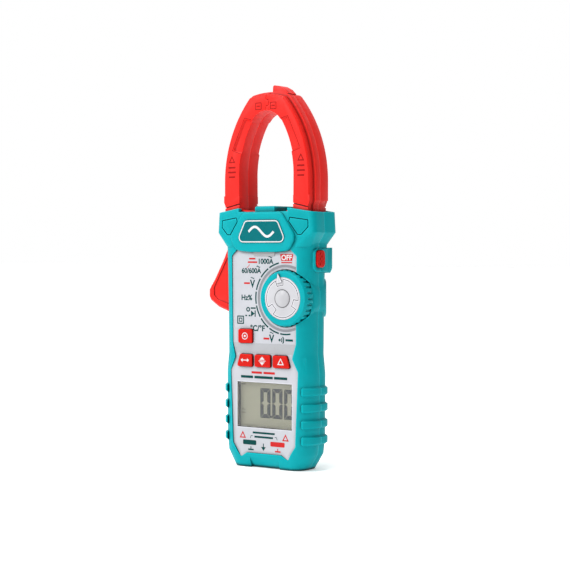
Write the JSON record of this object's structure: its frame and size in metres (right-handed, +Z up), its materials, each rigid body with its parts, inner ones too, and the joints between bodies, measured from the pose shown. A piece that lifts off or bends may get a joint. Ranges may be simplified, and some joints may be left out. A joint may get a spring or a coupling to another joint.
{
  "type": "clamp meter",
  "caption": "Hand-held clamp meter with hinged current-sensing jaws, squeeze trigger, rotary selector, keys, display and test lead sockets.",
  "frame": {"origin": "middle of the foot of the case, on the plane where the front and rear covers meet", "axes": "+X to the user's right with the display facing the user, +Y out of the back, +Z up towards the jaws"},
  "size_m": [0.0857, 0.0343, 0.2399],
  "materials": {
    "case_teal": "satin moulded plastic with a soft touch",
    "jaw_red": "satin moulded plastic",
    "key_red": "satin moulded keys",
    "panel_grey": "printed light grey overlay",
    "badge_dark": "smooth dark plate with a pale outline",
    "indicator_grey": "translucent light pipe",
    "lens_clear": "clear window",
    "display_olive": "liquid crystal display glass",
    "frame_black": "black moulding",
    "backlight_white": "light guide",
    "strip_grey": "layered contact strip",
    "board_green": "circuit board with green resist",
    "chip_black": "epoxy packages",
    "resistor_blue": "lacquered resistors",
    "buzzer_black": "moulded can",
    "led_clear": "diffused lamp",
    "steel": "plated steel",
    "socket_brass": "turned brass tube",
    "housing_grey": "dark moulding",
    "cell_wrap": "printed cell wrap",
    "mat_rubber": "translucent silicone",
    "core_iron": "pressed iron laminations",
    "coil_copper": "enamelled copper winding",
    "lever_black": "glass-filled nylon",
    "dial_white": "pale moulded disc",
    "hub_grey": "satin domed cap"
  },
  "bodies": {
    "case": {"front_cover": "case_teal", "rear_cover": "case_teal", "face_panel": "panel_grey", "badge_plate": "badge_dark", "indicator_window": "indicator_grey", "lcd_lens": "lens_clear", "lcd_glass": "display_olive", "lcd_frame": "frame_black", "lcd_backlight": "backlight_white", "zebra_strips": "strip_grey", "main_board": "board_green", "board_chips": "chip_black", "input_resistors": "resistor_blue", "buzzer": "buzzer_black", "indicator_led": "led_clear", "case_screws": "steel", "board_screws": "steel", "pivot_pins": "steel", "jack_housing": "housing_grey", "com_socket": "socket_brass", "input_socket": "socket_brass", "battery_tray": "housing_grey", "battery_contacts": "steel", "battery_cells": "cell_wrap", "keypad_mat": "mat_rubber", "side_switch": "chip_black", "detent_ring": "housing_grey"},
    "left_jaw": {"left_jaw_front_shell": "jaw_red", "left_jaw_rear_shell": "jaw_red", "left_core": "core_iron", "left_coil": "coil_copper", "left_lever": "lever_black", "left_jaw_screws": "steel", "trigger": "jaw_red", "closing_spring": "steel"},
    "right_jaw": {"right_jaw_front_shell": "jaw_red", "right_jaw_rear_shell": "jaw_red", "right_core": "core_iron", "right_coil": "coil_copper", "right_lever": "lever_black", "right_jaw_screws": "steel"},
    "dial": {"dial_knob": "case_teal", "dial_disc": "dial_white", "dial_pointer": "dial_white", "dial_hub": "hub_grey", "dial_rotor": "housing_grey", "dial_wipers": "socket_brass"},
    "func_key": {"func_button": "key_red"},
    "range_key": {"range_button": "key_red"},
    "max_min_key": {"max_min_button": "key_red"},
    "relative_key": {"relative_button": "key_red"},
    "side_key": {"side_button": "key_red"},
    "battery_cover": {"battery_door": "case_teal", "battery_door_screw": "steel"}
  },
  "joints": [
    {"name": "left_jaw_hinge", "type": "hinge", "parent": "case", "child": "left_jaw", "pos_m": [-0.02, 0, 0.1535], "axis": [0, -1, 0], "range_deg": [0, 16.5], "stiffness_Nm_per_rad": 1.5},
    {"name": "right_jaw_hinge", "type": "hinge", "parent": "case", "child": "right_jaw", "pos_m": [0.02, 0, 0.1535], "axis": [0, -1, 0], "range_deg": [-16.5, 0]},
    {"name": "dial_turn", "type": "hinge", "parent": "case", "child": "dial", "pos_m": [0.0159, 0, 0.107], "axis": [0, -1, 0], "range_deg": [0, 180]},
    {"name": "func_press", "type": "slide", "parent": "case", "child": "func_key", "axis": [0, 1, 0], "range_m": [0, 0.0008], "stiffness_N_per_m": 900},
    {"name": "range_press", "type": "slide", "parent": "case", "child": "range_key", "axis": [0, 1, 0], "range_m": [0, 0.0008], "stiffness_N_per_m": 900},
    {"name": "max_min_press", "type": "slide", "parent": "case", "child": "max_min_key", "axis": [0, 1, 0], "range_m": [0, 0.0008], "stiffness_N_per_m": 900},
    {"name": "relative_press", "type": "slide", "parent": "case", "child": "relative_key", "axis": [0, 1, 0], "range_m": [0, 0.0008], "stiffness_N_per_m": 900},
    {"name": "side_press", "type": "slide", "parent": "case", "child": "side_key", "axis": [-1, 0, 0], "range_m": [0, 0.0008], "stiffness_N_per_m": 900},
    {"name": "battery_door_lift", "type": "slide", "parent": "case", "child": "battery_cover", "axis": [0, 1, 0], "range_m": [0, 0.025]}
  ],
  "couplings": [
    {"joint": "right_jaw_hinge", "follows": "left_jaw_hinge", "ratio": -1}
  ]
}
